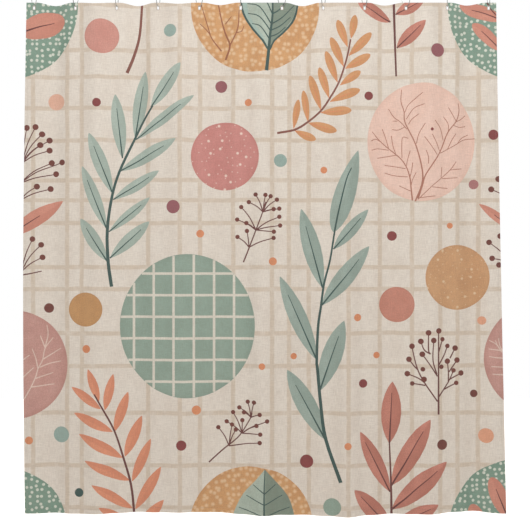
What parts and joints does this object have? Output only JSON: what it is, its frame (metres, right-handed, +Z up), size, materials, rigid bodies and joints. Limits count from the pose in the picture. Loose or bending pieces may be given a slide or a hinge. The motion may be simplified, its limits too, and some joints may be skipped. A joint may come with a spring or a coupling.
{
  "type": "shower curtain",
  "caption": "Printed fabric shower curtain that hangs in shallow folds from open wire rings in sewn buttonholes, and gathers along its rod.",
  "frame": {"origin": "on the axis of the shower rod that the rings hang from, midway between the two end rings", "axes": "+X along the rod to the right as seen from the printed side, -Y out of the printed side, +Z up"},
  "size_m": [1.7282, 0.0505, 1.932],
  "materials": {
    "printed_cloth": "plain-weave polyester, dyed print on the front, paler on the back",
    "binding_thread": "satin-stitched polyester thread",
    "ring_wire": "polished plated steel wire"
  },
  "bodies": {
    "panel_at_ring_01": {"cloth_at_ring_01": "printed_cloth", "buttonhole_01": "binding_thread"},
    "fold_01_left": {"cloth_fold_01_left": "printed_cloth"},
    "fold_01_right": {"cloth_fold_01_right": "printed_cloth"},
    "panel_at_ring_02": {"cloth_at_ring_02": "printed_cloth", "buttonhole_02": "binding_thread"},
    "fold_02_left": {"cloth_fold_02_left": "printed_cloth"},
    "fold_02_right": {"cloth_fold_02_right": "printed_cloth"},
    "panel_at_ring_03": {"cloth_at_ring_03": "printed_cloth", "buttonhole_03": "binding_thread"},
    "fold_03_left": {"cloth_fold_03_left": "printed_cloth"},
    "fold_03_right": {"cloth_fold_03_right": "printed_cloth"},
    "panel_at_ring_04": {"cloth_at_ring_04": "printed_cloth", "buttonhole_04": "binding_thread"},
    "fold_04_left": {"cloth_fold_04_left": "printed_cloth"},
    "fold_04_right": {"cloth_fold_04_right": "printed_cloth"},
    "panel_at_ring_05": {"cloth_at_ring_05": "printed_cloth", "buttonhole_05": "binding_thread"},
    "fold_05_left": {"cloth_fold_05_left": "printed_cloth"},
    "fold_05_right": {"cloth_fold_05_right": "printed_cloth"},
    "panel_at_ring_06": {"cloth_at_ring_06": "printed_cloth", "buttonhole_06": "binding_thread"},
    "fold_06_left": {"cloth_fold_06_left": "printed_cloth"},
    "fold_06_right": {"cloth_fold_06_right": "printed_cloth"},
    "panel_at_ring_07": {"cloth_at_ring_07": "printed_cloth", "buttonhole_07": "binding_thread"},
    "fold_07_left": {"cloth_fold_07_left": "printed_cloth"},
    "fold_07_right": {"cloth_fold_07_right": "printed_cloth"},
    "panel_at_ring_08": {"cloth_at_ring_08": "printed_cloth", "buttonhole_08": "binding_thread"},
    "fold_08_left": {"cloth_fold_08_left": "printed_cloth"},
    "fold_08_right": {"cloth_fold_08_right": "printed_cloth"},
    "panel_at_ring_09": {"cloth_at_ring_09": "printed_cloth", "buttonhole_09": "binding_thread"},
    "fold_09_left": {"cloth_fold_09_left": "printed_cloth"},
    "fold_09_right": {"cloth_fold_09_right": "printed_cloth"},
    "panel_at_ring_10": {"cloth_at_ring_10": "printed_cloth", "buttonhole_10": "binding_thread"},
    "fold_10_left": {"cloth_fold_10_left": "printed_cloth"},
    "fold_10_right": {"cloth_fold_10_right": "printed_cloth"},
    "panel_at_ring_11": {"cloth_at_ring_11": "printed_cloth", "buttonhole_11": "binding_thread"},
    "fold_11_left": {"cloth_fold_11_left": "printed_cloth"},
    "fold_11_right": {"cloth_fold_11_right": "printed_cloth"},
    "panel_at_ring_12": {"cloth_at_ring_12": "printed_cloth", "buttonhole_12": "binding_thread"},
    "ring_01": {"ring_01": "ring_wire"},
    "ring_02": {"ring_02": "ring_wire"},
    "ring_03": {"ring_03": "ring_wire"},
    "ring_04": {"ring_04": "ring_wire"},
    "ring_05": {"ring_05": "ring_wire"},
    "ring_06": {"ring_06": "ring_wire"},
    "ring_07": {"ring_07": "ring_wire"},
    "ring_08": {"ring_08": "ring_wire"},
    "ring_09": {"ring_09": "ring_wire"},
    "ring_10": {"ring_10": "ring_wire"},
    "ring_11": {"ring_11": "ring_wire"},
    "ring_12": {"ring_12": "ring_wire"}
  },
  "joints": [
    {"name": "draw", "type": "hinge", "parent": "panel_at_ring_06", "child": "fold_06_left", "pos_m": [-0.06309, 0, 0], "axis": [0, 0, 1], "range_deg": [-61.6, 18.4]},
    {"name": "crease_06_middle", "type": "hinge", "parent": "fold_06_left", "child": "fold_06_right", "pos_m": [0, -0.02099, 0], "axis": [0, 0, 1], "range_deg": [-36.81, 123.21]},
    {"name": "crease_06_right", "type": "hinge", "parent": "fold_06_right", "child": "panel_at_ring_07", "pos_m": [0.06309, 0, 0], "axis": [0, 0, 1], "range_deg": [-61.61, 18.41]},
    {"name": "crease_07_left", "type": "hinge", "parent": "panel_at_ring_07", "child": "fold_07_left", "pos_m": [0.08893, 0, 0], "axis": [0, 0, 1], "range_deg": [-18.41, 61.61]},
    {"name": "crease_07_middle", "type": "hinge", "parent": "fold_07_left", "child": "fold_07_right", "pos_m": [0.15202, 0.02099, 0], "axis": [0, 0, 1], "range_deg": [-123.21, 36.81]},
    {"name": "crease_07_right", "type": "hinge", "parent": "fold_07_right", "child": "panel_at_ring_08", "pos_m": [0.21511, 0, 0], "axis": [0, 0, 1], "range_deg": [-18.41, 61.61]},
    {"name": "crease_08_left", "type": "hinge", "parent": "panel_at_ring_08", "child": "fold_08_left", "pos_m": [0.24095, 0, 0], "axis": [0, 0, 1], "range_deg": [-61.61, 18.41]},
    {"name": "crease_08_middle", "type": "hinge", "parent": "fold_08_left", "child": "fold_08_right", "pos_m": [0.30404, -0.02099, 0], "axis": [0, 0, 1], "range_deg": [-36.81, 123.21]},
    {"name": "crease_08_right", "type": "hinge", "parent": "fold_08_right", "child": "panel_at_ring_09", "pos_m": [0.36713, 0, 0], "axis": [0, 0, 1], "range_deg": [-61.61, 18.41]},
    {"name": "crease_09_left", "type": "hinge", "parent": "panel_at_ring_09", "child": "fold_09_left", "pos_m": [0.39297, 0, 0], "axis": [0, 0, 1], "range_deg": [-18.41, 61.61]},
    {"name": "crease_09_middle", "type": "hinge", "parent": "fold_09_left", "child": "fold_09_right", "pos_m": [0.45606, 0.02099, 0], "axis": [0, 0, 1], "range_deg": [-123.21, 36.81]},
    {"name": "crease_09_right", "type": "hinge", "parent": "fold_09_right", "child": "panel_at_ring_10", "pos_m": [0.51915, 0, 0], "axis": [0, 0, 1], "range_deg": [-18.41, 61.61]},
    {"name": "crease_10_left", "type": "hinge", "parent": "panel_at_ring_10", "child": "fold_10_left", "pos_m": [0.54499, 0, 0], "axis": [0, 0, 1], "range_deg": [-61.61, 18.41]},
    {"name": "crease_10_middle", "type": "hinge", "parent": "fold_10_left", "child": "fold_10_right", "pos_m": [0.60808, -0.02099, 0], "axis": [0, 0, 1], "range_deg": [-36.81, 123.21]},
    {"name": "crease_10_right", "type": "hinge", "parent": "fold_10_right", "child": "panel_at_ring_11", "pos_m": [0.67117, 0, 0], "axis": [0, 0, 1], "range_deg": [-61.61, 18.41]},
    {"name": "crease_11_left", "type": "hinge", "parent": "panel_at_ring_11", "child": "fold_11_left", "pos_m": [0.69701, 0, 0], "axis": [0, 0, 1], "range_deg": [-18.41, 61.61]},
    {"name": "crease_11_middle", "type": "hinge", "parent": "fold_11_left", "child": "fold_11_right", "pos_m": [0.7601, 0.02099, 0], "axis": [0, 0, 1], "range_deg": [-123.21, 36.81]},
    {"name": "crease_11_right", "type": "hinge", "parent": "fold_11_right", "child": "panel_at_ring_12", "pos_m": [0.82319, 0, 0], "axis": [0, 0, 1], "range_deg": [-18.41, 61.61]},
    {"name": "crease_05_right", "type": "hinge", "parent": "panel_at_ring_06", "child": "fold_05_right", "pos_m": [-0.08893, 0, 0], "axis": [0, 0, 1], "range_deg": [-61.61, 18.41]},
    {"name": "crease_05_middle", "type": "hinge", "parent": "fold_05_right", "child": "fold_05_left", "pos_m": [-0.15202, 0.02099, 0], "axis": [0, 0, 1], "range_deg": [-36.81, 123.21]},
    {"name": "crease_05_left", "type": "hinge", "parent": "fold_05_left", "child": "panel_at_ring_05", "pos_m": [-0.21511, 0, 0], "axis": [0, 0, 1], "range_deg": [-61.61, 18.41]},
    {"name": "crease_04_right", "type": "hinge", "parent": "panel_at_ring_05", "child": "fold_04_right", "pos_m": [-0.24095, 0, 0], "axis": [0, 0, 1], "range_deg": [-18.41, 61.61]},
    {"name": "crease_04_middle", "type": "hinge", "parent": "fold_04_right", "child": "fold_04_left", "pos_m": [-0.30404, -0.02099, 0], "axis": [0, 0, 1], "range_deg": [-123.21, 36.81]},
    {"name": "crease_04_left", "type": "hinge", "parent": "fold_04_left", "child": "panel_at_ring_04", "pos_m": [-0.36713, 0, 0], "axis": [0, 0, 1], "range_deg": [-18.41, 61.61]},
    {"name": "crease_03_right", "type": "hinge", "parent": "panel_at_ring_04", "child": "fold_03_right", "pos_m": [-0.39297, 0, 0], "axis": [0, 0, 1], "range_deg": [-61.61, 18.41]},
    {"name": "crease_03_middle", "type": "hinge", "parent": "fold_03_right", "child": "fold_03_left", "pos_m": [-0.45606, 0.02099, 0], "axis": [0, 0, 1], "range_deg": [-36.81, 123.21]},
    {"name": "crease_03_left", "type": "hinge", "parent": "fold_03_left", "child": "panel_at_ring_03", "pos_m": [-0.51915, 0, 0], "axis": [0, 0, 1], "range_deg": [-61.61, 18.41]},
    {"name": "crease_02_right", "type": "hinge", "parent": "panel_at_ring_03", "child": "fold_02_right", "pos_m": [-0.54499, 0, 0], "axis": [0, 0, 1], "range_deg": [-18.41, 61.61]},
    {"name": "crease_02_middle", "type": "hinge", "parent": "fold_02_right", "child": "fold_02_left", "pos_m": [-0.60808, -0.02099, 0], "axis": [0, 0, 1], "range_deg": [-123.21, 36.81]},
    {"name": "crease_02_left", "type": "hinge", "parent": "fold_02_left", "child": "panel_at_ring_02", "pos_m": [-0.67117, 0, 0], "axis": [0, 0, 1], "range_deg": [-18.41, 61.61]},
    {"name": "crease_01_right", "type": "hinge", "parent": "panel_at_ring_02", "child": "fold_01_right", "pos_m": [-0.69701, 0, 0], "axis": [0, 0, 1], "range_deg": [-61.61, 18.41]},
    {"name": "crease_01_middle", "type": "hinge", "parent": "fold_01_right", "child": "fold_01_left", "pos_m": [-0.7601, 0.02099, 0], "axis": [0, 0, 1], "range_deg": [-36.81, 123.21]},
    {"name": "crease_01_left", "type": "hinge", "parent": "fold_01_left", "child": "panel_at_ring_01", "pos_m": [-0.82319, 0, 0], "axis": [0, 0, 1], "range_deg": [-61.61, 18.41]},
    {"name": "ring_01_turn", "type": "hinge", "parent": "panel_at_ring_01", "child": "ring_01", "pos_m": [-0.83611, 0, 0], "axis": [0, 0, 1], "range_deg": [-86, 10]},
    {"name": "ring_02_turn", "type": "hinge", "parent": "panel_at_ring_02", "child": "ring_02", "pos_m": [-0.68409, 0, 0], "axis": [0, 0, 1], "range_deg": [-30, 66]},
    {"name": "ring_03_turn", "type": "hinge", "parent": "panel_at_ring_03", "child": "ring_03", "pos_m": [-0.53207, 0, 0], "axis": [0, 0, 1], "range_deg": [-40, 56]},
    {"name": "ring_04_turn", "type": "hinge", "parent": "panel_at_ring_04", "child": "ring_04", "pos_m": [-0.38005, 0, 0], "axis": [0, 0, 1], "range_deg": [-33, 63]},
    {"name": "ring_05_turn", "type": "hinge", "parent": "panel_at_ring_05", "child": "ring_05", "pos_m": [-0.22803, 0, 0], "axis": [0, 0, 1], "range_deg": [-90, 6]},
    {"name": "ring_06_turn", "type": "hinge", "parent": "panel_at_ring_06", "child": "ring_06", "pos_m": [-0.07601, 0, 0], "axis": [0, 0, 1], "range_deg": [-48, 48]},
    {"name": "ring_07_turn", "type": "hinge", "parent": "panel_at_ring_07", "child": "ring_07", "pos_m": [0.07601, 0, 0], "axis": [0, 0, 1], "range_deg": [-94, 2]},
    {"name": "ring_08_turn", "type": "hinge", "parent": "panel_at_ring_08", "child": "ring_08", "pos_m": [0.22803, 0, 0], "axis": [0, 0, 1], "range_deg": [-24, 72]},
    {"name": "ring_09_turn", "type": "hinge", "parent": "panel_at_ring_09", "child": "ring_09", "pos_m": [0.38005, 0, 0], "axis": [0, 0, 1], "range_deg": [-72, 24]},
    {"name": "ring_10_turn", "type": "hinge", "parent": "panel_at_ring_10", "child": "ring_10", "pos_m": [0.53207, 0, 0], "axis": [0, 0, 1], "range_deg": [-92, 4]},
    {"name": "ring_11_turn", "type": "hinge", "parent": "panel_at_ring_11", "child": "ring_11", "pos_m": [0.68409, 0, 0], "axis": [0, 0, 1], "range_deg": [-38, 58]},
    {"name": "ring_12_turn", "type": "hinge", "parent": "panel_at_ring_12", "child": "ring_12", "pos_m": [0.83611, 0, 0], "axis": [0, 0, 1], "range_deg": [-51, 45]}
  ],
  "couplings": [
    {"joint": "crease_06_middle", "follows": "draw", "ratio": -2},
    {"joint": "crease_06_right", "follows": "draw", "ratio": 1},
    {"joint": "crease_07_left", "follows": "draw", "ratio": -1},
    {"joint": "crease_07_middle", "follows": "draw", "ratio": 2},
    {"joint": "crease_07_right", "follows": "draw", "ratio": -1},
    {"joint": "crease_08_left", "follows": "draw", "ratio": 1},
    {"joint": "crease_08_middle", "follows": "draw", "ratio": -2},
    {"joint": "crease_08_right", "follows": "draw", "ratio": 1},
    {"joint": "crease_09_left", "follows": "draw", "ratio": -1},
    {"joint": "crease_09_middle", "follows": "draw", "ratio": 2},
    {"joint": "crease_09_right", "follows": "draw", "ratio": -1},
    {"joint": "crease_10_left", "follows": "draw", "ratio": 1},
    {"joint": "crease_10_middle", "follows": "draw", "ratio": -2},
    {"joint": "crease_10_right", "follows": "draw", "ratio": 1},
    {"joint": "crease_11_left", "follows": "draw", "ratio": -1},
    {"joint": "crease_11_middle", "follows": "draw", "ratio": 2},
    {"joint": "crease_11_right", "follows": "draw", "ratio": -1},
    {"joint": "crease_05_right", "follows": "draw", "ratio": 1},
    {"joint": "crease_05_middle", "follows": "draw", "ratio": -2},
    {"joint": "crease_05_left", "follows": "draw", "ratio": 1},
    {"joint": "crease_04_right", "follows": "draw", "ratio": -1},
    {"joint": "crease_04_middle", "follows": "draw", "ratio": 2},
    {"joint": "crease_04_left", "follows": "draw", "ratio": -1},
    {"joint": "crease_03_right", "follows": "draw", "ratio": 1},
    {"joint": "crease_03_middle", "follows": "draw", "ratio": -2},
    {"joint": "crease_03_left", "follows": "draw", "ratio": 1},
    {"joint": "crease_02_right", "follows": "draw", "ratio": -1},
    {"joint": "crease_02_middle", "follows": "draw", "ratio": 2},
    {"joint": "crease_02_left", "follows": "draw", "ratio": -1},
    {"joint": "crease_01_right", "follows": "draw", "ratio": 1},
    {"joint": "crease_01_middle", "follows": "draw", "ratio": -2},
    {"joint": "crease_01_left", "follows": "draw", "ratio": 1}
  ]
}
